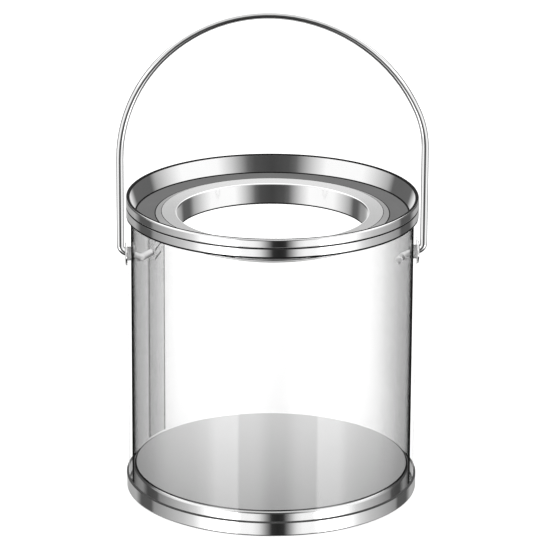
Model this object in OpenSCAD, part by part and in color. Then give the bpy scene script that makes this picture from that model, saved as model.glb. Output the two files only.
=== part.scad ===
// Clear paint can: a rolled clear plastic wall between two seamed metal ends, with a wire bail.
// Origin at the middle of the underside, +Z up, the bail's swing axis along X. Millimetres.

/* [Can] */
// Height from the table to the top of the rim
can_h = 79.7; // [76:0.1:90]
// Outside diameter of the rim
rim_od = 76; // [76:0.1:76.4]
// Outside diameter of the clear wall
wall_od = 75.3; // [75.2:0.1:75.3]
// Thickness of the clear wall
wall_t = 1.2; // [1:0.05:1.2]
// Width of the strip where the rolled wall overlaps itself
lap_w = 7.7; // [4:0.1:12]
// Thickness of that overlap, inside the wall
lap_t = 0.35; // [0.2:0.05:0.6]
// Direction of the overlap, anticlockwise from the right-hand bail hole
lap_angle = 146.5; // [120:0.5:160]

/* [Top end] */
// Thickness of the metal sheet
sheet_t = 0.22; // [0.18:0.01:0.24]
// Height of the rolled seam round the rim
rim_seam_h = 2.25; // [2:0.05:2.4]
// Depth to which the collar's skirt covers the clear wall
skirt_h = 5.1; // [4.5:0.1:8]
// Depth of the gutter below the rim
gutter_h = 4.75; // [4.6:0.05:5]
// Diameter of the gutter's floor, out to its corner
gutter_d = 71.3; // [70.8:0.1:71.4]
// Height of the raised ring above the gutter
ring_h = 0.55; // [0.3:0.05:0.9]
// Outside diameter of the raised ring, at the gutter
ring_od = 60.6; // [58:0.1:62]
// Outside diameter of the raised ring's flat top
ring_top_d = 57.4; // [55:0.1:57.4]
// Bore of the neck that a plug lid pushes into
neck_bore = 49.2; // [44:0.1:50]
// Depth of the bottom of the neck below the rim
neck_h = 10.1; // [9:0.1:11]
// How far the hem at the foot of the neck turns out
neck_hem = 0.85; // [0.5:0.05:1.2]

/* [Bottom end] */
// Outside diameter of the bottom seam at its widest
base_od = 76.4; // [76.4:0.1:76.6]
// Height of the bottom seam
base_seam_h = 3.7; // [3.4:0.1:4.5]
// Height of the floor above the table
floor_z = 6.3; // [5.5:0.1:9]
// Radius of the bend round the edge of the floor
floor_bend = 0.95; // [0.6:0.05:1.2]

/* [Eyelets] */
// Height of the bail holes
pivot_z = 64; // [60:0.1:64.5]
// Diameter of the hole in the wall
hole_d = 3.6; // [3.6:0.1:3.8]
// Bore of the eyelet at its narrowest
eyelet_bore = 2.9; // [2.8:0.05:2.9]
// Diameter of the eyelet's flange
eyelet_d = 6.3; // [6:0.1:7]
// How far the eyelet's flange stands out from the wall
eyelet_proud = 0.55; // [0.4:0.05:0.55]
// Diameter of the backing washer inside the wall
washer_d = 6.2; // [5.6:0.1:6.4]
// Thickness of the backing washer
washer_t = 0.3; // [0.2:0.05:0.4]

/* [Bail] */
// Diameter of the wire
wire_d = 1.9; // [1.6:0.05:1.9]
// Distance between the legs, centre to centre
bail_span = 78.8; // [78.8:0.1:80]
// Height of the crown above the swing axis, to the wire's centre
bail_rise = 63.6; // [61:0.1:68]
// Radius of the wire's arch from the left leg to just past the crown
left_arch_r = 38; // [37.6:0.1:38.6]
// Angle that the left arch turns through
left_arch_turn = 100; // [95:1:105]
// Radius of the tighter bend into the right leg
right_arch_r = 25; // [22:0.5:30]
// Angle that the tighter bend turns through
right_arch_turn = 24; // [20:1:28]
// Bend radius at the foot of each leg
foot_bend = 2; // [1.8:0.1:2.2]
// Slope of the wire as it passes through the eyelet, below level
foot_slope = 22; // [18:1:24]
// Bend radius of the retaining hook inside the can
hook_bend = 1.6; // [1.4:0.1:2]
// Straight length of the retaining hook
hook_l = 4.8; // [3:0.1:5.5]
// Angle the left hook turns through, towards the back
left_hook = 62; // [50:1:85]
// Angle the right hook turns through, towards the front
right_hook = 84; // [50:1:85]
// Distance from the wall's inner face to where each hook begins to turn
hook_setback = 1.4; // [1.2:0.1:1.6]
// Angle by which each hook tilts upward as it turns
hook_lift = 12; // [0:1:16]

/* [Hidden] */
$fn = 96;

rim_r = rim_od / 2;
wall_r = wall_od / 2;
bore_r = wall_r - wall_t;
neck_r = neck_bore / 2;
wire_r = wire_d / 2;
steel = "silver";
arc_steps = 6;

// Heights of the two ends of the clear wall, where the seams take hold of it
wall_top = can_h - 3.1;
wall_foot = 0.8;
// Radius of the roll over the rim
roll_r = 0.45;
// Clearance between the skirt and the clear wall
skirt_gap = 0.08;
// Clearance between the sheets folded into the top seam
seam_gap = 0.12;

// Points along an arc of radius r about c, from angle a to angle b
function arc(c, r, a, b) =
    [for (i = [0:arc_steps]) let (t = a + (b - a) * i / arc_steps) c + r * [cos(t), sin(t)]];

// Unit vector from a to b, and the normal to its right
function heading(a, b) = (b - a) / norm(b - a);
function right_of(d) = [d[1], -d[0]];

// Offset of point i of a path, one unit to the right, mitred at the corner
function miter(p, i) =
    let (n = len(p) - 1,
         before = right_of(heading(p[max(i, 1) - 1], p[max(i, 1)])),
         after = right_of(heading(p[min(i, n - 1)], p[min(i, n - 1) + 1])))
    (before + after) / (1 + before * after);

// Closed outline of a sheet of thickness t that lies to the right of a path
function sheet(p, t) = concat(p, [for (i = [len(p) - 1:-1:0]) p[i] + t * miter(p, i)]);

// Drops a path measured down from the rim to its true height
function from_rim(p) = [for (q = p) [q[0], can_h - q[1]]];

module revolve(points) {
    rotate_extrude() polygon(points);
}

// Puts a shape drawn along +Z onto the swing axis, pointing out of the can on one side
module on_axis(side) {
    translate([0, 0, pivot_z]) rotate([0, side * 90, 0]) children();
}

// ---- Clear wall -------------------------------------------------------------------------------

module clear_body() {
    lap_foot = floor_z + 0.3;
    lap_top = can_h - skirt_h - 0.3;
    lap_span = lap_w / bore_r * 180 / PI;
    color("lightcyan", 0.35) difference() {
        union() {
            difference() {
                translate([0, 0, wall_foot]) cylinder(h = wall_top - wall_foot, r = wall_r);
                translate([0, 0, wall_foot - 1]) cylinder(h = wall_top - wall_foot + 2, r = bore_r);
            }
            // the overlap, let a little into the wall so that the two are one piece
            rotate([0, 0, lap_angle - lap_span / 2]) translate([0, 0, lap_foot])
                rotate_extrude(angle = lap_span)
                    translate([bore_r - lap_t, 0]) square([lap_t + 0.2, lap_top - lap_foot]);
        }
        for (side = [-1, 1])
            on_axis(side) translate([0, 0, bore_r - 3]) cylinder(h = 6, r = hole_d / 2);
    }
}

// ---- Top end ----------------------------------------------------------------------------------

// Outer ring: a leg hooked into the seam, and a skirt down the outside of the clear wall
module top_collar() {
    leg_r = rim_r - sheet_t - seam_gap;
    skirt_r = wall_r + sheet_t + skirt_gap;
    leg_top = 0.9;
    leg_foot = rim_seam_h + 0.05;
    shoulder = rim_seam_h + 0.27;
    corner = 0.08;
    toe_turn = 0.04;
    toe_h = 0.3;
    outline = from_rim([
        [leg_r, leg_top], [leg_r, leg_foot], [leg_r + corner, shoulder - corner],
        [skirt_r - corner, shoulder], [skirt_r, shoulder + 2 * corner],
        [skirt_r, skirt_h - toe_h], [skirt_r - toe_turn, skirt_h]]);
    color(steel) revolve(sheet(outline, sheet_t));
}

// Stamped end: neck, raised ring, gutter, chuck wall and the roll over the rim
module friction_ring() {
    hem_r = 0.45;
    lip_r = 0.55;
    corner_r = 0.4;
    tuck_h = 0.35;
    tuck = 0.2;
    draft = 10;
    gutter_r = gutter_d / 2;
    ring_top = gutter_h - ring_h;
    outline = from_rim(concat(
        [[neck_r + neck_hem, neck_h]],
        arc([neck_r + hem_r, neck_h - hem_r], hem_r, 90, 180),
        arc([neck_r + lip_r, ring_top + lip_r], lip_r, 180, 270),
        [[ring_top_d / 2, ring_top], [ring_od / 2, gutter_h]],
        arc([gutter_r - corner_r, gutter_h - corner_r], corner_r, 90, draft),
        arc([rim_r - roll_r, roll_r], roll_r, 180 + draft, 360),
        [[rim_r, rim_seam_h - tuck_h], [rim_r - tuck / 3, rim_seam_h - tuck / 2],
         [rim_r - tuck, rim_seam_h]]));
    color(steel) revolve(sheet(outline, sheet_t));
}

// Sealing compound on the top edge of the wall, under the seam
module top_gasket() {
    foot = can_h - wall_top;
    crest = foot - 1.1;
    outer_r = wall_r - 0.25;
    color("dimgray") revolve(from_rim([
        [bore_r + 0.2, foot], [outer_r, foot], [outer_r, crest], [bore_r + 0.72, crest]]));
}

// ---- Bottom end -------------------------------------------------------------------------------

// Stamped floor, its wall down inside the clear wall, and the channel that forms the seam
module bottom_end() {
    inner_r = bore_r - 0.1;
    outer_r = base_od / 2 - sheet_t;
    root_r = 0.45;
    waist_z = 1.9;
    draw_in = 0.15;
    outline = concat(
        [[0, floor_z], [inner_r - floor_bend, floor_z]],
        arc([inner_r - floor_bend, floor_z - floor_bend], floor_bend, 80, 0),
        arc([inner_r + root_r, sheet_t + root_r], root_r, 180, 270),
        arc([outer_r - draw_in - root_r, sheet_t + root_r], root_r, 270, 350),
        [[outer_r - draw_in / 4, waist_z - 0.65], [outer_r, waist_z], [outer_r - draw_in / 4, waist_z + 0.7],
         [outer_r - draw_in, base_seam_h - 0.5], [outer_r - 2 * draw_in, base_seam_h]]);
    color(steel) revolve(sheet(outline, sheet_t));
}

// Sealing compound in the bottom of the seam, under the wall
module bottom_gasket() {
    inner_r = bore_r + 0.02;
    outer_r = wall_r - 0.02;
    waist = 0.55;
    color("dimgray") revolve([
        [bore_r + 0.35, sheet_t], [wall_r - 0.25, sheet_t], [outer_r, waist],
        [outer_r, wall_foot], [inner_r, wall_foot], [inner_r, waist]]);
}

// ---- Eyelets ----------------------------------------------------------------------------------

// Distance of the backing washer's outer face from the can's axis, where its rim meets the wall
washer_x = sqrt(pow(bore_r, 2) - pow(washer_d / 2, 2));

// Rolled eyelet: domed flange outside, barrel through the wall, edge clinched over the washer
module eyelet(side) {
    bore = eyelet_bore / 2;
    flange = eyelet_d / 2;
    barrel = hole_d / 2 - 0.05;
    seat = washer_x - washer_t;
    crown = wall_r + eyelet_proud;
    color(steel) on_axis(side) revolve([
        [bore, seat + 0.3], [bore, wall_r - 0.05], [bore + 0.15, crown - 0.3],
        [bore + 0.45, crown - 0.1], [bore + 0.95, crown], [flange - 0.3, crown - 0.1],
        [flange, crown - 0.3], [flange, wall_r], [barrel, wall_r], [barrel, seat],
        [bore + 0.85, seat], [bore + 0.9, seat - 0.15], [bore + 0.65, seat - 0.35],
        [bore + 0.3, seat - 0.3], [bore + 0.05, seat - 0.05]]);
}

module washer(side) {
    color("gainsboro") on_axis(side) revolve([
        [hole_d / 2 - 0.02, washer_x - washer_t], [washer_d / 2, washer_x - washer_t],
        [washer_d / 2, washer_x], [hole_d / 2 - 0.02, washer_x]]);
}

// ---- Bail -------------------------------------------------------------------------------------

// Ball a hair fatter than the wire, which closes the joint between two stretches of it
module joint_ball() {
    sphere(r = wire_r + 0.01);
}

// Straight wire along the local +Z, with what follows it carried on its end
module straight(l) {
    cylinder(h = l, r = wire_r);
    translate([0, 0, l]) children();
}

// Wire that turns from the local +Z towards +X, with what follows it carried on its end
module bend(r, a) {
    joint_ball();
    translate([r, 0, 0]) rotate([90, 0, 180]) rotate_extrude(angle = a)
        translate([r, 0]) circle(r = wire_r);
    translate([r * (1 - cos(a)), 0, r * sin(a)]) rotate([0, a, 0]) {
        joint_ball();
        children();
    }
}

// One end of the wire, from the top of the leg down to the tip of the hook.
// It is drawn for the left leg, with +X towards the can, and the hook turning towards +Y.
module bail_end(hook, leg_top) {
    turn = 90 - foot_slope;
    // the sloping wire crosses the swing axis half way through the wall
    axis_x = wall_r - wall_t / 2;
    bend_end_x = bail_span / 2 - foot_bend * (1 - cos(turn));
    bend_end_z = (bend_end_x - axis_x) * tan(foot_slope);
    leg_foot = bend_end_z + foot_bend * sin(turn);
    through = (bend_end_x - bore_r + hook_setback) / cos(foot_slope);
    translate([-bail_span / 2, 0, leg_top]) joint_ball();
    translate([-bail_span / 2, 0, leg_top]) mirror([0, 0, 1])
        straight(leg_top - leg_foot)
            bend(foot_bend, turn)
                straight(through)
                    rotate([0, 0, 90 - hook_lift]) bend(hook_bend, hook)
                        straight(hook_l);
}

// Radius of the long flat arch between the left arch and the bend into the right leg
crown_turn = 180 - left_arch_turn - right_arch_turn;
crown_r = (bail_span - left_arch_r * (1 - cos(left_arch_turn)) - right_arch_r * (1 - cos(right_arch_turn)))
    / (cos(left_arch_turn) + cos(right_arch_turn));
// Heights above the swing axis where the straight legs begin
left_top = bail_rise - left_arch_r;
right_top = left_top + left_arch_r * sin(left_arch_turn) - right_arch_r * sin(right_arch_turn)
    - crown_r * (sin(left_arch_turn) - sin(right_arch_turn));

module bail() {
    color(steel) translate([0, 0, pivot_z]) union() {
        translate([-bail_span / 2, 0, left_top])
            bend(left_arch_r, left_arch_turn)
                bend(crown_r, crown_turn)
                    bend(right_arch_r, right_arch_turn);
        bail_end(left_hook, left_top);
        rotate([0, 0, 180]) bail_end(right_hook, right_top);
    }
}

clear_body();
top_collar();
friction_ring();
top_gasket();
bottom_end();
bottom_gasket();
eyelet(-1);  // left_eyelet
eyelet(1);  // right_eyelet
washer(-1);  // left_washer
washer(1);  // right_washer
bail();
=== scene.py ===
"""Looks of the clear paint can: a see-through wall between bright seamed metal ends, with a wire bail.

Lengths named below are in millimetres and are turned into metres where a mesh is made. Heights are above
the table, and the can's axis is +Z. Outlines are lists of (radius, height) points, each with the radius of
its bend.
"""

import math

import bmesh
import bpy
from mathutils import Matrix, Vector


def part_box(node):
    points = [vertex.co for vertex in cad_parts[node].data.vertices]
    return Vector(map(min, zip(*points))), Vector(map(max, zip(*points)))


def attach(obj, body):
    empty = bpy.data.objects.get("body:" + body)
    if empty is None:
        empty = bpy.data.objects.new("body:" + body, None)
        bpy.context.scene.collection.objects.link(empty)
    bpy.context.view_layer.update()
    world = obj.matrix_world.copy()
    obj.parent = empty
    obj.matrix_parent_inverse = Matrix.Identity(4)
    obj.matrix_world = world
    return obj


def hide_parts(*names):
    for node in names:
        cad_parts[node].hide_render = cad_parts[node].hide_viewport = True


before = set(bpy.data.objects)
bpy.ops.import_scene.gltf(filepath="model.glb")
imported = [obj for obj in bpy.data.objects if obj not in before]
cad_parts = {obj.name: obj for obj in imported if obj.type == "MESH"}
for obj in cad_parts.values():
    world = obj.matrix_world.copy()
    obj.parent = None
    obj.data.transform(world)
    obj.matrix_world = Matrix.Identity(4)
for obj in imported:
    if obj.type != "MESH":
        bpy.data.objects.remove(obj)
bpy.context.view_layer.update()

MM = 0.001

# ---- Sizes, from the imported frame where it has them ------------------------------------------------


def top_of(node):
    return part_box(node)[1].z / MM


def foot_of(node):
    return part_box(node)[0].z / MM


def radius_of(node):
    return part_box(node)[1].x / MM


CAN_H = top_of("friction_ring")
RIM_R = radius_of("friction_ring")
NECK_FOOT = foot_of("friction_ring")
SKIRT_R = radius_of("top_collar")
SKIRT_FOOT = foot_of("top_collar")
WALL_R = radius_of("clear_body")
WALL_TOP = top_of("clear_body")
WALL_FOOT = foot_of("clear_body")
BASE_R = radius_of("bottom_end")
FLOOR_Z = top_of("bottom_end")
PIVOT_Z = (top_of("left_washer") + foot_of("left_washer")) / 2

SHEET_T = 0.22
WALL_T = 1.2
BORE_R = WALL_R - WALL_T
# a row of points partway up the wall
WALL_MID = 30.0
# how far out the wall's inner face is shown, which sets the width of its dark edge
SHADE_SHIFT = 0.25

# the top end, from the seam inward to the neck
RIM_SEAM_H = 2.25
RIM_ROLL = 0.45
CREST_FLAT = 0.07
SEAM_GAP = 0.12
SEAM_Z = CAN_H - RIM_SEAM_H
GUTTER_Z = CAN_H - 4.75
GUTTER_R = 35.65
# the gutter's floor is cut here, between the rim's mesh and the ring's
GUTTER_CUT_R = GUTTER_R - 0.35
RING_Z = CAN_H - 4.2
RING_R = 30.3
RING_TOP_R = 28.7
RING_FALL = 0.32
LIP_Z = RING_Z - RING_FALL
NECK_R = 24.6
# the ring ends and the neck's mesh starts here
LIP_R = NECK_R + 0.55
NECK_DRAFT = 0.15
HEM_W = 0.85

# the bottom end
BASE_SEAM_H = 3.7
BASE_INNER_R = BORE_R - 0.1
# the seam's mesh starts here, just inside the end of the floor's
BASE_CUT_R = BASE_INNER_R + 0.6
FLOOR_BEND = 0.95

# heights of the near-black bands at bends and gaps: painted shade and painted dark reflection, and at the
# base seam's top a dark band in the sealing compound's material
CREST_LINE = 0.07
INNER_CREST_LINE = 0.3
GUTTER_LINE = 0.2
SEAM_LINE = 0.35
SKIRT_LINE = 0.48
HEM_LINE = 0.45
FLOOR_LINE = 0.26
BASE_LINE = 0.1

# the bail holes and the eyelets in them
HOLE_R = 1.8
EYELET_BORE_R = 1.45
BARREL_R = 1.75
FLANGE_R = 3.15
FLANGE_PROUD = 0.55
WASHER_T = 0.3

# the strip where the wall overlaps itself, at an angle from +X in degrees, with its beads and the row of
# weld marks that reaches down to a foot
LAP_W = 7.7
LAP_T = 0.35
LAP_ANGLE = 146.5
WELD_FOOT = 55.5
WELD_PITCH = 2.5
WELD_W = 2.8
WELD_OFFSET = -1.0
WELD_H = 0.5
WELD_RISE = -1.5
BEAD_W = 0.28

# the wire: an arch of three arcs, and at each end a leg, a foot bent inward and a hook inside the wall
WIRE_R = 0.95
BAIL_HALF_SPAN = 39.4
BAIL_RISE = 63.6
LEFT_ARCH_R = 38.0
LEFT_ARCH_TURN = math.radians(100)
RIGHT_ARCH_R = 25.0
RIGHT_ARCH_TURN = math.radians(24)
FOOT_BEND = 2.0
FOOT_SLOPE = math.radians(22)
HOOK_BEND = 1.6
HOOK_L = 4.8
HOOK_SETBACK = 1.4
LEFT_HOOK = math.radians(62)
RIGHT_HOOK = math.radians(84)
HOOK_LIFT = math.radians(12)

LATHE_STEPS = 288
EYELET_STEPS = 72
WALL_STEPS = 240
STAGE_HALF = 20000


# ---- Mesh helpers ----------------------------------------------------------------------------------


def rounded(corners, steps=7):
    """Points along a path whose corners (r, z, bend radius) are turned by arcs of that radius. A corner
    may name its own number of steps."""
    path = []
    for i, (r, z, bend, *finer) in enumerate(corners):
        here = Vector((r, z))
        cuts = finer[0] if finer else steps
        if bend <= 0 or i in (0, len(corners) - 1):
            path.append(here)
            continue
        before = (Vector(corners[i - 1][:2]) - here).normalized()
        after = (Vector(corners[i + 1][:2]) - here).normalized()
        half = before.angle(after) / 2
        reach = bend / math.tan(half)
        centre = here + (before + after).normalized() * (bend / math.sin(half))
        start = here + before * reach - centre
        sweep = start.angle_signed(here + after * reach - centre)
        for k in range(cuts + 1):
            turned = start.copy()
            turned.rotate(Matrix.Rotation(-sweep * k / cuts, 2))
            path.append(centre + turned)
    return path


def sheet(path, thickness):
    """Closed outline of metal sheet that lies to the right of a path."""
    back = []
    for i, here in enumerate(path):
        before = (here - path[i - 1]).normalized() if i else (path[1] - here).normalized()
        after = (path[i + 1] - here).normalized() if i < len(path) - 1 else before
        normal_a = Vector((before.y, -before.x))
        normal_b = Vector((after.y, -after.x))
        mitre = (normal_a + normal_b) / (1 + normal_a.dot(normal_b))
        back.append(here + mitre * thickness)
    return path + back[::-1]


def finish_mesh(name, bm, materials, smooth_angle=35):
    """Turns a bmesh in millimetres into an object in metres, with its materials."""
    bmesh.ops.remove_doubles(bm, verts=bm.verts, dist=1e-4)
    bmesh.ops.recalc_face_normals(bm, faces=bm.faces)
    bmesh.ops.scale(bm, vec=(MM, MM, MM), verts=bm.verts)
    mesh = bpy.data.meshes.new(name)
    bm.to_mesh(mesh)
    bm.free()
    for material in materials:
        mesh.materials.append(material)
    mesh.shade_smooth()
    mesh.set_sharp_from_angle(angle=math.radians(smooth_angle))
    made = bpy.data.objects.new(name, mesh)
    bpy.context.scene.collection.objects.link(made)
    return made


def guarded(outline, guard=0.03):
    """The same outline with a point near each end of its long edges, so that bends don't shade the flats."""
    held = []
    for i, here in enumerate(outline):
        following = outline[(i + 1) % len(outline)]
        held.append(here)
        along = following - here
        if along.length > 6 * guard:
            step = along.normalized() * guard
            held += [here + step, following - step]
    return held


def lathe(name, outline, materials, steps=LATHE_STEPS, slot_of=None):
    """Solid of revolution about +Z from a closed outline of (radius, height) points."""
    outline = guarded(outline)
    bm = bmesh.new()
    rings = []
    for r, z in outline:
        if r < 1e-6:
            rings.append([bm.verts.new((0, 0, z))] * steps)
            continue
        turn = [2 * math.pi * k / steps for k in range(steps)]
        rings.append([bm.verts.new((r * math.cos(t), r * math.sin(t), z)) for t in turn])
    for i, ring in enumerate(rings):
        following = rings[(i + 1) % len(rings)]
        for k in range(steps):
            n = (k + 1) % steps
            corners = []
            for v in (ring[k], ring[n], following[n], following[k]):
                if v not in corners:
                    corners.append(v)
            if len(corners) > 2:
                face = bm.faces.new(corners)
                face.material_index = slot_of(face) if slot_of else 0
    return finish_mesh(name, bm, materials)


def sweep(name, path, radius, materials, sides=28, chamfer=0.25):
    """Round wire along a path of points, with its cut ends chamfered."""
    bm = bmesh.new()
    tangents = []
    for i, here in enumerate(path):
        ahead = path[min(i + 1, len(path) - 1)]
        behind = path[max(i - 1, 0)]
        tangents.append((ahead - behind).normalized())
    side = tangents[0].orthogonal().normalized()
    rings = []

    def ring(centre, across, up, r):
        turn = [2 * math.pi * k / sides for k in range(sides)]
        return [bm.verts.new(centre + (across * math.cos(t) + up * math.sin(t)) * r) for t in turn]

    def end_rings(tip, inward, across, up):
        """The rings of one cut end, from its flat face inward."""
        made = []
        for k in range(5):
            depth = chamfer * math.sin(k * math.pi / 8)
            made.append(ring(tip + inward * depth, across, up, radius - chamfer + depth))
        return made

    for i, here in enumerate(path):
        tangent = tangents[i]
        side = (side - tangent * side.dot(tangent)).normalized()
        up = tangent.cross(side)
        if i == 0:
            rings += end_rings(here, tangent, side, up)
        elif i == len(path) - 1:
            rings += end_rings(here, -tangent, side, up)[::-1]
        else:
            rings.append(ring(here, side, up, radius))
    for a, b in zip(rings, rings[1:]):
        for k in range(sides):
            n = (k + 1) % sides
            bm.faces.new((a[k], a[n], b[n], b[k]))
    bm.faces.new(rings[0][::-1])
    bm.faces.new(rings[-1])
    return finish_mesh(name, bm, materials, 50)


# ---- Node helpers ----------------------------------------------------------------------------------


class Nodes:
    """Short calls to build one node tree."""

    def __init__(self, owner):
        owner.use_nodes = True
        self.tree = owner.node_tree
        self.tree.nodes.clear()

    def node(self, kind, inputs=None, **settings):
        made = self.tree.nodes.new(kind)
        for key, value in settings.items():
            setattr(made, key, value)
        for key, value in (inputs or {}).items():
            self.feed(made.inputs[key], value)
        return made

    def feed(self, socket, value):
        if isinstance(value, bpy.types.NodeSocket):
            self.tree.links.new(value, socket)
        else:
            socket.default_value = value

    def math(self, operation, a, b=0.0):
        return self.node("ShaderNodeMath", {0: a, 1: b}, operation=operation).outputs[0]

    def length(self, x, y):
        """The length of a vector across the can's axis."""
        return self.math("SQRT", self.math("ADD", self.math("MULTIPLY", x, x), self.math("MULTIPLY", y, y)))

    def ramp(self, factor, stops):
        """Brightness along a list of (position, value) stops."""
        made = self.node("ShaderNodeValToRGB", {0: factor})
        ramp = made.color_ramp
        while len(ramp.elements) < len(stops):
            ramp.elements.new(1.0)
        for element, (position, value) in zip(ramp.elements, stops):
            element.position = position
            element.color = (value, value, value, 1)
        return made.outputs[0]

    def mix(self, factor, a, b, kind="FLOAT"):
        made = self.node("ShaderNodeMix", data_type=kind)
        pick = {"FLOAT": (0, 2, 3, 0), "RGBA": (0, 6, 7, 2)}[kind]
        self.feed(made.inputs[pick[0]], factor)
        self.feed(made.inputs[pick[1]], a)
        self.feed(made.inputs[pick[2]], b)
        return made.outputs[pick[3]]

    def map_range(self, value, low, high, to_low=0.0, to_high=1.0, smooth=False):
        """A value's place between low and high, moved to between two other values."""
        made = self.node(
            "ShaderNodeMapRange",
            {0: value, 1: low, 2: high, 3: to_low, 4: to_high},
            interpolation_type="SMOOTHSTEP" if smooth else "LINEAR",
        )
        return made.outputs[0]


def grey(value):
    return (value, value, value, 1)


# ---- Materials -------------------------------------------------------------------------------------

# noise scales: the rolling lines' per metre across them and per radian along them, the others' per metre
LINE_DENSITY = 9000
LINE_TURN = 1.5
PATCH_SCALE = 160.0
HAZE_SCALE = 90.0
GRAIN_SCALE = 1800.0

def metal(name, tone, roughness, line_depth, lift=0.0, fade=0.0):
    """Bright rolled sheet: fine lines round the axis and small changes of polish. Lift leans its shine
    upward. Fade is the share of painted shade by which its tone is darker at the can's front and lighter at
    its back."""
    material = bpy.data.materials.new(name)
    n = Nodes(material)
    place = n.node("ShaderNodeTexCoord").outputs["Object"]
    xyz = n.node("ShaderNodeSeparateXYZ", {0: place})
    x, y, z = xyz.outputs
    turn = n.math("ARCTAN2", y, x)
    radius = n.length(x, y)
    lines_at = n.node(
        "ShaderNodeCombineXYZ",
        {
            0: n.math("MULTIPLY", turn, LINE_TURN),
            1: n.math("MULTIPLY", radius, LINE_DENSITY),
            2: n.math("MULTIPLY", z, LINE_DENSITY),
        },
    )
    lines = n.node("ShaderNodeTexNoise", {"Vector": lines_at.outputs[0], "Scale": 1.0, "Detail": 3.0})
    patches = n.node("ShaderNodeTexNoise", {"Vector": place, "Scale": PATCH_SCALE, "Detail": 4.0})
    patch_rough = n.map_range(patches.outputs[0], 0.3, 0.7, roughness * 0.95, roughness * 1.06)
    rough = n.math("ADD", patch_rough, n.math("MULTIPLY", lines.outputs[0], roughness * 0.15))
    colour = n.mix(patches.outputs[0], grey(tone * 0.97), grey(min(tone * 1.03, 1.0)), "RGBA")
    # painted shade: the tone is scaled along Y, darker at the front and lighter at the back
    if fade:
        across = n.map_range(y, -BORE_R * MM, BORE_R * MM, 1.0 - fade, 1.0 + fade)
        colour = n.node("ShaderNodeVectorMath", {0: colour, 1: across}, operation="MULTIPLY").outputs[0]
    bump = n.node("ShaderNodeBump", {"Distance": line_depth * MM, "Height": lines.outputs[0]})
    if lift:
        facing = n.node("ShaderNodeNewGeometry").outputs["Normal"]
        leaning = n.node("ShaderNodeVectorMath", {0: facing, 1: (0, 0, lift)}, operation="ADD")
        upright = n.node("ShaderNodeVectorMath", {0: leaning.outputs[0]}, operation="NORMALIZE")
        n.feed(bump.inputs["Normal"], upright.outputs[0])
    shader = n.node(
        "ShaderNodeBsdfPrincipled",
        {"Base Color": colour, "Metallic": 1.0, "Roughness": rough, "Normal": bump.outputs[0]},
    )
    n.node("ShaderNodeOutputMaterial", {0: shader.outputs[0]})
    return material


def clear_skin(name, clearness, mirroring):
    """One face of the clear plastic. It darkens towards its edge as thick clear plastic does: clearness and
    mirroring list the shares of light let through and mirrored, from face on (0) to edge on (1)."""
    material = bpy.data.materials.new(name)
    n = Nodes(material)
    facing = n.node("ShaderNodeLayerWeight", {"Blend": 0.5}).outputs["Facing"]
    place = n.node("ShaderNodeTexCoord").outputs["Object"]
    mirror = n.ramp(facing, mirroring)
    passed = n.ramp(facing, clearness)
    haze = n.node("ShaderNodeTexNoise", {"Vector": place, "Scale": HAZE_SCALE, "Detail": 3.0})
    clear = n.math("MULTIPLY", passed, n.map_range(haze.outputs[0], 0.3, 0.7, 0.995, 1.0))
    through = n.node("ShaderNodeBsdfTransparent", {"Color": clear})
    gloss = n.node("ShaderNodeBsdfGlossy", {"Color": grey(1.0), "Roughness": 0.03})
    both = n.node("ShaderNodeMixShader", {0: mirror, 1: through.outputs[0], 2: gloss.outputs[0]})
    n.node("ShaderNodeOutputMaterial", {0: both.outputs[0]})
    return material


def compound(name, low, high, shine=0.5):
    """Matt filling between two tones, with a fine grain. Shine is the strength of its gloss."""
    material = bpy.data.materials.new(name)
    n = Nodes(material)
    place = n.node("ShaderNodeTexCoord").outputs["Object"]
    grain = n.node("ShaderNodeTexNoise", {"Vector": place, "Scale": GRAIN_SCALE, "Detail": 4.0})
    colour = n.mix(grain.outputs[0], grey(low), grey(high), "RGBA")
    bump = n.node("ShaderNodeBump", {"Distance": 0.02 * MM, "Height": grain.outputs[0]})
    shader = n.node(
        "ShaderNodeBsdfPrincipled",
        {"Base Color": colour, "Roughness": 0.75, "Specular IOR Level": shine, "Normal": bump.outputs[0]},
    )
    n.node("ShaderNodeOutputMaterial", {0: shader.outputs[0]})
    return material


tinplate = metal("tinplate", 0.88, 0.07, 0.0006)
# painted shade: the floor, gutter, slope, ring and neck are satin copies of the tinplate with darker tones
# for the shade seen on them; the floor's tone also darkens towards the front
satin_floor_shade = metal("satin_floor_shade", 0.48, 0.45, 0.002, fade=0.28)
satin_gutter_shade = metal("satin_gutter_shade", 0.075, 0.35, 0.001)
satin_slope_shade = metal("satin_slope_shade", 0.31, 0.3, 0.001)
satin_ring_shade = metal("satin_ring_shade", 0.49, 0.18, 0.001)
satin_neck_shade = metal("satin_neck_shade", 0.62, 0.45, 0.001)
drawn_wire = metal("drawn_wire", 0.86, 0.08, 0.0004, lift=0.07)
eyelet_metal = metal("eyelet_metal", 0.9, 0.1, 0.0006)
# painted shade: near-black matt bands at the metal's bends and gaps, for the shade and dark reflections there
painted_shade_band = compound("painted_shade_band", 0.004, 0.012, shine=0.1)
# painted light: the hooks inside the wall get a brighter, rougher copy of the wire's metal, with its shine
# leaned upward
lit_hook_metal = metal("lit_hook_metal", 1.0, 0.35, 0.0004, lift=0.6)
sealing = compound("sealing", 0.03, 0.07)
pale_barrel = compound("pale_barrel", 0.88, 0.92)

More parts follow.
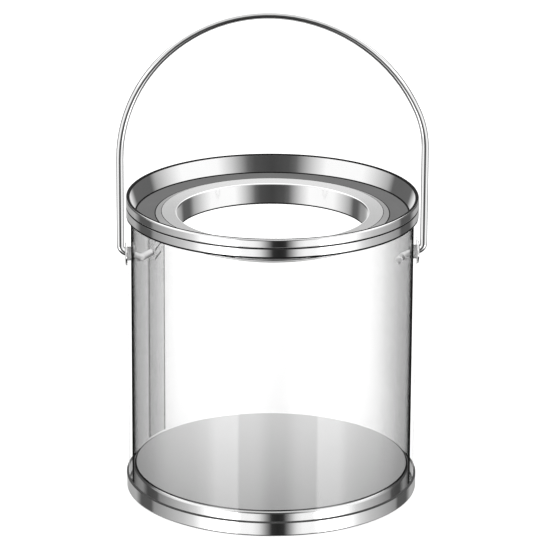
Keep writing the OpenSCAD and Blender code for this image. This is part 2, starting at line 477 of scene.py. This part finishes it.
# shares of light let through or mirrored by the clear plastic, from face on (0) to edge on (1)
EDGE_SHADE = [
    (0.2, 0.938), (0.295, 0.913), (0.341, 0.89), (0.393, 0.85), (0.454, 0.78), (0.527, 0.707), (0.586, 0.644),
    (0.656, 0.585), (0.72, 0.55), (0.778, 0.44), (0.83, 0.2), (0.87, 0.0),
]
OUTER_MIRROR = [(0.0, 0.045), (0.5, 0.05), (0.62, 0.03), (0.7, 0.012), (0.8, 0.03), (0.92, 0.3), (1.0, 0.7)]
INNER_MIRROR = [(0.0, 0.045), (0.45, 0.05), (0.65, 0.01), (0.8, 0.0)]
LAP_MIRROR = [(0.0, 0.01), (1.0, 0.02)]
wall_outside = clear_skin("clear_outside", [(0.97, 1.0), (1.0, 0.0)], OUTER_MIRROR)
wall_inside = clear_skin("clear_inside", EDGE_SHADE, INNER_MIRROR)
lap_plastic = clear_skin("clear_lap", [(0.0, 0.87), (0.9, 0.85), (1.0, 0.0)], LAP_MIRROR)
lap_edge = clear_skin("clear_lap_edge", [(0.0, 0.6), (0.9, 0.5), (1.0, 0.0)], LAP_MIRROR)


# ---- Pieces ----------------------------------------------------------------------------------------


def on_can(piece, slot, *nodes):
    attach(piece, "can")
    if nodes:
        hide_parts(*nodes)
    return piece


def unmirrored(piece):
    """Keeps a piece out of the reflections in the others."""
    piece.visible_glossy = False
    return piece


def place_of(face):
    """The radius and the height of a face's middle."""
    middle = face.calc_center_median()
    return math.hypot(middle.x, middle.y), middle.z


def stamped_top():
    """The middle of the pressed top end: raised ring and gutter."""
    skin = rounded(
        [
            (LIP_R, LIP_Z, 0),
            (RING_TOP_R, RING_Z, 0.5),
            (RING_R, GUTTER_Z, 0.25),
            (RING_R + 0.25, GUTTER_Z, 0),
            (GUTTER_CUT_R, GUTTER_Z, 0),
        ]
    )

    # painted shade: near-black bands at the slope's foot and the ring's edge, and darker copies of the
    # tinplate on the slope, ring and gutter
    def slot_of(face):
        r, z = place_of(face)
        if z > GUTTER_Z + 0.03 and r > RING_TOP_R + 0.3:
            return 3
        slope_foot = z < GUTTER_Z + 0.1 and RING_R - 0.1 < r < RING_R + 0.2
        ring_edge = z > GUTTER_Z + 0.3 and abs(r - RING_TOP_R - 0.15) < 0.16
        if slope_foot or ring_edge:
            return 2
        return 1 if r < RING_TOP_R else 0

    looks = [satin_gutter_shade, satin_ring_shade, painted_shade_band, satin_slope_shade]
    return lathe("stamped_top", sheet(skin, SHEET_T), looks, slot_of=slot_of)


def rolled_neck():
    """The neck that takes a plug lid: the lip at its top, its wall and the hem at its foot."""
    skin = rounded(
        [
            (NECK_R + HEM_W, NECK_FOOT, 0),
            (NECK_R - NECK_DRAFT, NECK_FOOT, 0.25),
            (NECK_R - NECK_DRAFT + 0.02, NECK_FOOT + HEM_LINE, 0),
            (NECK_R + NECK_DRAFT, LIP_Z, 0.4),
            (LIP_R, LIP_Z, 0),
        ]
    )

    # painted shade: a near-black band at the hem's foot, and a darker copy of the tinplate on the neck's
    # outside
    def slot_of(face):
        r, z = place_of(face)
        if z < NECK_FOOT + HEM_LINE and r < NECK_R + 0.3:
            return 2
        outside = r > NECK_R + NECK_DRAFT + 0.03 and z < LIP_Z - 0.3
        return 1 if outside else 0

    return lathe("rolled_neck", sheet(skin, SHEET_T), [tinplate, satin_neck_shade, painted_shade_band], slot_of=slot_of)


def rolled_rim():
    """The edge of the pressed top end: its wall up from the gutter, rolled over the rim and down outside."""
    skin = rounded(
        [
            (GUTTER_CUT_R, GUTTER_Z, 0),
            (GUTTER_R, GUTTER_Z, 0.3),
            (RIM_R - 2 * RIM_ROLL - CREST_FLAT, CAN_H, RIM_ROLL, 12),
            (RIM_R, CAN_H, RIM_ROLL, 12),
            (RIM_R, SEAM_Z + 0.1, 0.1),
            (RIM_R - 0.25, SEAM_Z, 0),
        ]
    )

    # painted shade: near-black bands on the crest, inside the crest and at the gutter's corner
    def slot_of(face):
        r, z = place_of(face)
        inside_crest = r < RIM_R - RIM_ROLL - 0.03 and z > CAN_H - INNER_CREST_LINE
        return 1 if inside_crest or z > CAN_H - CREST_LINE or z < GUTTER_Z + GUTTER_LINE else 0

    return lathe("rolled_rim", sheet(skin, SHEET_T), [tinplate, painted_shade_band], slot_of=slot_of)


def collar():
    """The ring that hooks into the top seam and skirts the wall."""
    leg_r = RIM_R - SHEET_T - SEAM_GAP
    skin = rounded(
        [
            (leg_r, CAN_H - 0.9, 0),
            (leg_r, SEAM_Z - 0.15, 0.1),
            (SKIRT_R, SEAM_Z - 0.3, 0.2),
            (SKIRT_R, SKIRT_FOOT + SKIRT_LINE, 0.1),
            (SKIRT_R - 0.04, SKIRT_FOOT, 0),
        ]
    )

    # painted shade: near-black bands at the skirt's foot and under the seam
    def slot_of(face):
        z = place_of(face)[1]
        return 1 if z < SKIRT_FOOT + SKIRT_LINE or SEAM_Z - SEAM_LINE < z < SEAM_Z else 0

    return lathe("top_skirt", sheet(skin, SHEET_T), [tinplate, painted_shade_band], slot_of=slot_of)


def stamped_base():
    """The middle of the pressed bottom end: its floor, and its wall down inside the can."""
    skin = rounded(
        [
            (0, FLOOR_Z, 0),
            (BASE_INNER_R - 0.02, FLOOR_Z, FLOOR_BEND, 12),
            (BASE_INNER_R, SHEET_T, 0.42),
            (BASE_CUT_R, SHEET_T, 0),
        ]
    )

    # painted shade: the floor takes a darker copy of the tinplate that darkens towards the front, with a
    # near-black band at its edge
    def slot_of(face):
        r, z = place_of(face)
        if r < BASE_INNER_R - 0.78:
            return 1
        return 2 if z > FLOOR_Z - FLOOR_LINE else 0

    looks = [tinplate, satin_floor_shade, painted_shade_band]
    return lathe("stamped_base", sheet(skin, SHEET_T), looks, slot_of=slot_of)


def base_seam():
    """The edge of the pressed bottom end, folded up round the foot of the wall."""
    edge_r = BASE_R - SHEET_T
    skin = rounded(
        [
            (BASE_CUT_R - 0.02, SHEET_T, 0),
            (edge_r, SHEET_T, 0.22),
            (edge_r, BASE_SEAM_H - 0.06, 0.03),
            (edge_r - 0.4, BASE_SEAM_H, 0),
        ]
    )

    def slot_of(face):
        z = place_of(face)[1]
        return 1 if z > BASE_SEAM_H - BASE_LINE else 0

    return lathe("base_seam", sheet(skin, SHEET_T), [tinplate, sealing], slot_of=slot_of)


def top_seal():
    """The sealing compound on top of the wall."""
    outer_r = WALL_R - 0.25
    crest = WALL_TOP + 1.1
    corners = [(BORE_R + 0.2, WALL_TOP), (outer_r, WALL_TOP), (outer_r, crest), (BORE_R + 0.72, crest)]
    return lathe("top_seal", [Vector(corner) for corner in corners], [sealing])


def bottom_seal():
    """The sealing compound under the wall."""
    inner_r = BORE_R + 0.02
    outer_r = WALL_R - 0.02
    waist = 0.55
    corners = [
        (inner_r + 0.33, SHEET_T), (outer_r - 0.23, SHEET_T), (outer_r, waist), (outer_r, WALL_FOOT),
        (inner_r, WALL_FOOT), (inner_r, waist),
    ]
    return lathe("bottom_seal", [Vector(corner) for corner in corners], [sealing])


def clear_wall():
    """The rolled clear wall, with the two bail holes through it."""
    rows = [WALL_FOOT, FLOOR_Z, WALL_MID, PIVOT_Z - 4, PIVOT_Z + 4, SKIRT_FOOT, WALL_TOP]
    inner_r = BORE_R + SHADE_SHIFT
    bm = bmesh.new()
    grid = {}
    for r in (WALL_R, inner_r):
        for z in rows:
            for k in range(WALL_STEPS):
                t = 2 * math.pi * (k + 0.5) / WALL_STEPS
                grid[r, z, k] = bm.verts.new((r * math.cos(t), r * math.sin(t), z))
    for r in (WALL_R, inner_r):
        for low, high in zip(rows, rows[1:]):
            for k in range(WALL_STEPS):
                n = (k + 1) % WALL_STEPS
                corners = [grid[r, low, k], grid[r, low, n], grid[r, high, n], grid[r, high, k]]
                face = bm.faces.new(corners if r == WALL_R else corners[::-1])
                face.material_index = 0 if r == WALL_R else 1
    for z in (WALL_FOOT, WALL_TOP):
        for k in range(WALL_STEPS):
            n = (k + 1) % WALL_STEPS
            corners = [grid[WALL_R, z, k], grid[WALL_R, z, n], grid[inner_r, z, n], grid[inner_r, z, k]]
            bm.faces.new(corners if z == WALL_TOP else corners[::-1])
    wall = finish_mesh("clear_wall", bm, [wall_outside, wall_inside])
    drill_holes(wall)
    return wall


def drill_holes(wall):
    """Cuts the two bail holes through the wall, along the X axis."""
    bm = bmesh.new()
    bmesh.ops.create_cone(
        bm, cap_ends=True, segments=48, radius1=HOLE_R, radius2=HOLE_R, depth=2 * WALL_R + 4,
        matrix=Matrix.Translation((0, 0, PIVOT_Z)) @ Matrix.Rotation(math.pi / 2, 4, "Y"),
    )
    drill = finish_mesh("drill", bm, [wall_inside])
    cut = wall.modifiers.new("holes", "BOOLEAN")
    cut.operation = "DIFFERENCE"
    cut.solver = "EXACT"
    cut.object = drill
    bpy.context.view_layer.update()
    ready = wall.evaluated_get(bpy.context.evaluated_depsgraph_get())
    cut_mesh = bpy.data.meshes.new_from_object(ready)
    wall.modifiers.clear()
    wall.data = cut_mesh
    bpy.data.objects.remove(drill)


def curved_bar(bm, corners, start, end, steps, rise=0.0, slot=0):
    """A closed bar of a four-cornered (radius, height) section, added to a bmesh. It runs round the axis from
    one angle to another and climbs by rise on the way."""
    sections = []
    for k in range(steps + 1):
        t = start + (end - start) * k / steps
        lift = rise * k / steps
        sections.append([bm.verts.new((r * math.cos(t), r * math.sin(t), z + lift)) for r, z in corners])
    for a, b in zip(sections, sections[1:]):
        for k in range(4):
            n = (k + 1) % 4
            bm.faces.new((a[k], b[k], b[n], a[n])).material_index = slot
    bm.faces.new(sections[0]).material_index = slot
    bm.faces.new(sections[-1][::-1]).material_index = slot


def wall_lap():
    """The strip where the rolled wall overlaps itself, with a welded bead along each edge and a row of
    slanted weld marks on its upper half."""
    bm = bmesh.new()
    middle = math.radians(LAP_ANGLE)
    half = LAP_W / BORE_R / 2
    foot = FLOOR_Z + 0.3
    top = SKIRT_FOOT - 0.3
    inner = BORE_R - LAP_T
    seat = inner - 0.02
    strip = ((inner, foot), (BORE_R - 0.02, foot), (BORE_R - 0.02, top), (inner, top))
    curved_bar(bm, strip, middle - half, middle + half, 24)
    bead_r = inner - 0.12
    bead = ((bead_r, foot), (seat, foot), (seat, top), (bead_r, top))
    bead_turn = BEAD_W / BORE_R
    for edge in (middle - half, middle + half - bead_turn):
        curved_bar(bm, bead, edge, edge + bead_turn, 3, slot=1)
    mark_r = inner - 0.14
    slope = 0.06
    start = middle + (WELD_OFFSET - WELD_W / 2) / BORE_R
    end = middle + (WELD_OFFSET + WELD_W / 2) / BORE_R
    z = top - 2.0
    while z > WELD_FOOT:
        mark = ((seat, z), (mark_r, z + slope), (mark_r, z + WELD_H - slope), (seat, z + WELD_H))
        curved_bar(bm, mark, start, end, 4, rise=WELD_RISE, slot=1)
        z -= WELD_PITCH
    return finish_mesh("wall_lap", bm, [lap_plastic, lap_edge])


def bail_path():
    """Points along the wire, from the tip of the left hook over the crown to the tip of the right hook."""

    def end_of(hook, leg_top):
        """From the top of a leg to its tip, for the left leg, with +X towards the can."""
        turn = math.pi / 2 - FOOT_SLOPE
        axis_x = WALL_R - WALL_T / 2
        bend_end_x = BAIL_HALF_SPAN - FOOT_BEND * (1 - math.cos(turn))
        bend_end_z = (bend_end_x - axis_x) * math.tan(FOOT_SLOPE)
        leg_foot = bend_end_z + FOOT_BEND * math.sin(turn)
        through = (bend_end_x - BORE_R + HOOK_SETBACK) / math.cos(FOOT_SLOPE)
        points = [Vector((-BAIL_HALF_SPAN, 0, leg_top + (leg_foot - leg_top) * k / 10)) for k in range(10)]
        for k in range(17):
            t = turn * k / 16
            x = -BAIL_HALF_SPAN + FOOT_BEND * (1 - math.cos(t))
            points.append(Vector((x, 0, leg_foot - FOOT_BEND * math.sin(t))))
        ahead = Vector((math.cos(FOOT_SLOPE), 0, -math.sin(FOOT_SLOPE)))
        up = Vector((math.sin(FOOT_SLOPE), 0, math.cos(FOOT_SLOPE)))
        aside = Vector((0, 1, 0)) * math.cos(HOOK_LIFT) + up * math.sin(HOOK_LIFT)
        start = points[-1]
        points += [start + ahead * through * k / 4 for k in (1, 2, 3, 4)]
        start = points[-1]
        for k in range(1, 17):
            t = hook * k / 16
            points.append(start + (ahead * math.sin(t) + aside * (1 - math.cos(t))) * HOOK_BEND)
        heading = ahead * math.cos(hook) + aside * math.sin(hook)
        start = points[-1]
        points += [start + heading * HOOK_L * k / 4 for k in (1, 2, 3, 4)]
        return points

    span = 2 * BAIL_HALF_SPAN
    into_right = math.pi - RIGHT_ARCH_TURN
    crown_r = span - LEFT_ARCH_R * (1 - math.cos(LEFT_ARCH_TURN)) - RIGHT_ARCH_R * (1 + math.cos(into_right))
    crown_r /= math.cos(LEFT_ARCH_TURN) - math.cos(into_right)
    left_top = BAIL_RISE - LEFT_ARCH_R
    arch = []
    centre = Vector((LEFT_ARCH_R - BAIL_HALF_SPAN, 0, left_top))
    bends = [
        (LEFT_ARCH_R, 0, LEFT_ARCH_TURN),
        (crown_r, LEFT_ARCH_TURN, into_right),
        (RIGHT_ARCH_R, into_right, math.pi),
    ]
    for i, (radius, start, end) in enumerate(bends):
        if i:
            # the next arc starts where the last one ends, so its centre moves along their shared radius
            spoke = Vector((-math.cos(start), 0, math.sin(start)))
            centre = centre + spoke * (bends[i - 1][0] - radius)
        steps = max(8, round(48 * (end - start) / math.pi))
        for k in range(1, steps + 1):
            t = start + (end - start) * k / steps
            arch.append(centre + Vector((-math.cos(t), 0, math.sin(t))) * radius)
    right_top = arch.pop().z
    left = end_of(LEFT_HOOK, left_top)
    right = [Vector((-p.x, -p.y, p.z)) for p in end_of(RIGHT_HOOK, right_top)]
    lift = Vector((0, 0, PIVOT_Z))
    return [p + lift for p in left[::-1] + arch + right]


def eyelet(name, side):
    """Rolled eyelet: domed flange outside, barrel through the wall, edge clinched over the washer."""
    seat = radius_of("right_washer") - WASHER_T
    crown = WALL_R + FLANGE_PROUD
    outline = rounded(
        [
            (EYELET_BORE_R, WALL_R - 0.6, 0),
            (EYELET_BORE_R, WALL_R - 0.05, 0.4),
            (EYELET_BORE_R + 0.25, crown, 0.35),
            (FLANGE_R, crown - 0.02, 0.45),
            (FLANGE_R, WALL_R, 0),
            (BARREL_R, WALL_R, 0),
            (BARREL_R, seat, 0),
            (BARREL_R + 0.6, seat, 0.05),
            (BARREL_R + 0.55, seat - 0.35, 0.15),
            (EYELET_BORE_R + 0.05, seat - 0.3, 0.2),
            (EYELET_BORE_R, seat + 0.3, 0),
        ],
        5,
    )

    def slot_of(face):
        return 1 if seat < place_of(face)[1] < WALL_R else 0

    made = lathe(name, outline, [eyelet_metal, pale_barrel], steps=EYELET_STEPS, slot_of=slot_of)
    onto_side = Matrix.Rotation(side * math.pi / 2, 4, "Y")
    made.data.transform(Matrix.Translation((0, 0, PIVOT_Z * MM)) @ onto_side)
    return made


def keep(node, material):
    """A CAD node whose shape is right, shown with a finished material."""
    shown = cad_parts[node]
    shown.data.materials.clear()
    shown.data.materials.append(material)


def wire_bail():
    """The wire, whose hooks inside the wall are less polished than the rest and painted lighter in tone."""
    wire = sweep("wire_bail", bail_path(), WIRE_R, [drawn_wire, lit_hook_metal])
    for face in wire.data.polygons:
        if abs(face.center.x) < (BORE_R - 0.3) * MM and face.center.z < (PIVOT_Z + 10) * MM:
            face.material_index = 1
    return wire


def build_object():
    unmirrored(on_can(stamped_top(), "bright_tinplate", "friction_ring"))
    unmirrored(on_can(rolled_neck(), "bright_tinplate"))
    unmirrored(on_can(rolled_rim(), "bright_tinplate"))
    unmirrored(on_can(collar(), "bright_tinplate", "top_collar"))
    on_can(stamped_base(), "bright_tinplate", "bottom_end")
    unmirrored(on_can(base_seam(), "bright_tinplate"))
    unmirrored(on_can(clear_wall(), "clear_plastic", "clear_body"))
    unmirrored(on_can(wall_lap(), "clear_plastic"))
    unmirrored(on_can(eyelet("left_rivet", -1), "eyelet_metal", "left_eyelet"))
    unmirrored(on_can(eyelet("right_rivet", 1), "eyelet_metal", "right_eyelet"))
    wire = unmirrored(wire_bail())
    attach(wire, "bail")
    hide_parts("bail")
    unmirrored(on_can(top_seal(), "sealing_compound", "top_gasket"))
    unmirrored(on_can(bottom_seal(), "sealing_compound", "bottom_gasket"))
    for node in ("left_washer", "right_washer"):
        keep(node, eyelet_metal)


# ---- Studio ----------------------------------------------------------------------------------------

CAMERA_AZIMUTH = math.radians(2.3)
CAMERA_HEIGHT = math.radians(18.3)
CAMERA_ROLL = math.radians(0.3)
CAMERA_REACH = 1.0
LENS = 250.8
SENSOR = 36.0
LOOK_AT_Z = 57.72 * MM
LOOK_ASIDE = 0.89 * MM


def camera():
    data = bpy.data.cameras.new("camera")
    data.lens = LENS
    data.sensor_width = SENSOR
    data.clip_start = 0.1
    data.clip_end = 50
    made = bpy.data.objects.new("camera", data)
    bpy.context.scene.collection.objects.link(made)
    a, e = CAMERA_AZIMUTH, CAMERA_HEIGHT
    back = Vector((-math.sin(a) * math.cos(e), -math.cos(a) * math.cos(e), math.sin(e)))
    right = Vector((math.cos(a), -math.sin(a), 0))
    up = back.cross(right)
    roll = Matrix.Rotation(CAMERA_ROLL, 3, back)
    right, up = roll @ right, roll @ up
    turn = Matrix((right, up, back)).transposed().to_4x4()
    look_at = Vector((0, 0, LOOK_AT_Z)) + Vector((math.cos(a), -math.sin(a), 0)) * LOOK_ASIDE
    made.matrix_world = Matrix.Translation(look_at + back * CAMERA_REACH) @ turn
    bpy.context.scene.camera = made


# Brightness seen in the metal, by angle from the front round to the back, in degrees, with the direction
# that each pattern is turned to. The first is for what lies low, the second for what lies level or higher.
STUDIO_PEAK = 2.6
LOW_TURN = math.radians(5.5)
HIGH_TURN = math.radians(0.5)
STUDIO_LOW = [
    (0, 0.02), (5, 0.03), (9, 0.3), (15, 0.85), (20, 1.05), (31, 1.1), (33, 2.5), (50, 2.4), (60, 1.3),
    (70, 0.8), (80, 0.6), (98, 0.43), (112, 0.3), (116, 0.1), (132, 0.1), (142, 0.45), (164, 0.42),
    (171, 0.6), (180, 0.9),
]
STUDIO_HIGH = [
    (0, 0.06), (14, 0.08), (20, 0.14), (34, 0.7), (46, 1.1), (80, 1.1), (96, 0.75), (110, 0.45), (117, 0.13),
    (150, 0.14), (157, 0.5), (166, 0.85), (180, 0.9),
]
FRONT_OVERHEAD = 0.75
BACK_OVERHEAD = 1.5
ZENITH = 0.9
HIGH_PANELS = 1.8
FRONT_GROUND = 0.03
BACK_GROUND = 0.4
# where each part of the studio fades into the next, in degrees above level
GROUND_FADE = (-36, -24)
LEVEL_FADE = (-17.5, -12)
PANEL_FADE = (19, 27)
OVERHEAD_FADE = (24, 34)
ZENITH_FADE = (76, 86)
# where the front fades into the back, as a share of the way round
BACK_FADE = (0.42, 0.62)


def studio_light():
    """A bright studio that polished metal sees as soft panels and dark gaps, and that looks plain white
    behind the object."""
    world = bpy.data.worlds.new("studio")
    bpy.context.scene.world = world
    n = Nodes(world)
    way = n.node("ShaderNodeTexCoord").outputs["Generated"]
    xyz = n.node("ShaderNodeSeparateXYZ", {0: way})
    x, y, z = xyz.outputs
    flat = n.math("MAXIMUM", n.length(x, y), 1e-5)

    def share_round(turned):
        """How far round from the front a direction lies, from 0 to 1 at the back."""
        front = CAMERA_AZIMUTH - turned
        along_x = n.math("MULTIPLY", x, -math.sin(front))
        ahead = n.math("ADD", along_x, n.math("MULTIPLY", y, -math.cos(front)))
        return n.math("DIVIDE", n.math("ARCCOSINE", n.math("DIVIDE", ahead, flat)), math.pi)

    def pattern(turned, stops):
        return n.ramp(share_round(turned), [(a / 180, v / STUDIO_PEAK) for a, v in stops])

    def climb(fade, low=0.0, high=1.0):
        """A value that goes from low to high where a direction climbs through a fade."""
        foot, top = (math.sin(math.radians(degrees)) for degrees in fade)
        return n.map_range(z, foot, top, low, high, smooth=True)

    sides = n.mix(climb(LEVEL_FADE), pattern(LOW_TURN, STUDIO_LOW), pattern(HIGH_TURN, STUDIO_HIGH))
    sides = n.math("MULTIPLY", sides, STUDIO_PEAK)
    sides = n.math("MULTIPLY", sides, climb(PANEL_FADE, 1.0, HIGH_PANELS))
    back = n.map_range(share_round(0.0), *BACK_FADE, smooth=True)
    overhead = n.mix(back, climb(ZENITH_FADE, FRONT_OVERHEAD, ZENITH), BACK_OVERHEAD)
    ground = n.mix(back, FRONT_GROUND, BACK_GROUND)
    seen = n.mix(climb(OVERHEAD_FADE), sides, overhead)
    seen = n.mix(climb(GROUND_FADE), ground, seen)
    rays = n.node("ShaderNodeLightPath")
    polished = n.node("ShaderNodeBackground", {0: seen})
    plain = n.node("ShaderNodeBackground", {0: grey(1.0), 1: 1.05})
    both = n.node(
        "ShaderNodeMixShader", {0: rays.outputs["Is Glossy Ray"], 1: plain.outputs[0], 2: polished.outputs[0]}
    )
    n.node("ShaderNodeOutputWorld", {0: both.outputs[0]})


def floor():
    """Plain pale floor, which polished surfaces don't mirror."""
    material = bpy.data.materials.new("pale_floor")
    n = Nodes(material)
    place = n.node("ShaderNodeTexCoord").outputs["Object"]
    grain = n.node("ShaderNodeTexNoise", {"Vector": place, "Scale": 40.0})
    colour = n.mix(grain.outputs[0], grey(0.9), grey(0.92), "RGBA")
    matt = n.node("ShaderNodeBsdfDiffuse", {"Color": colour})
    glow = n.node("ShaderNodeEmission", {"Color": grey(1.0), "Strength": 0.45})
    both = n.node("ShaderNodeAddShader", {0: matt.outputs[0], 1: glow.outputs[0]})
    n.node("ShaderNodeOutputMaterial", {0: both.outputs[0]})
    bm = bmesh.new()
    bmesh.ops.create_grid(bm, x_segments=4, y_segments=4, size=STAGE_HALF)
    unmirrored(finish_mesh("floor", bm, [material]))


def main():
    camera()
    studio_light()
    floor()
    build_object()
    scene = bpy.context.scene
    scene.view_settings.view_transform = "Standard"
    scene.view_settings.look = "None"


main()
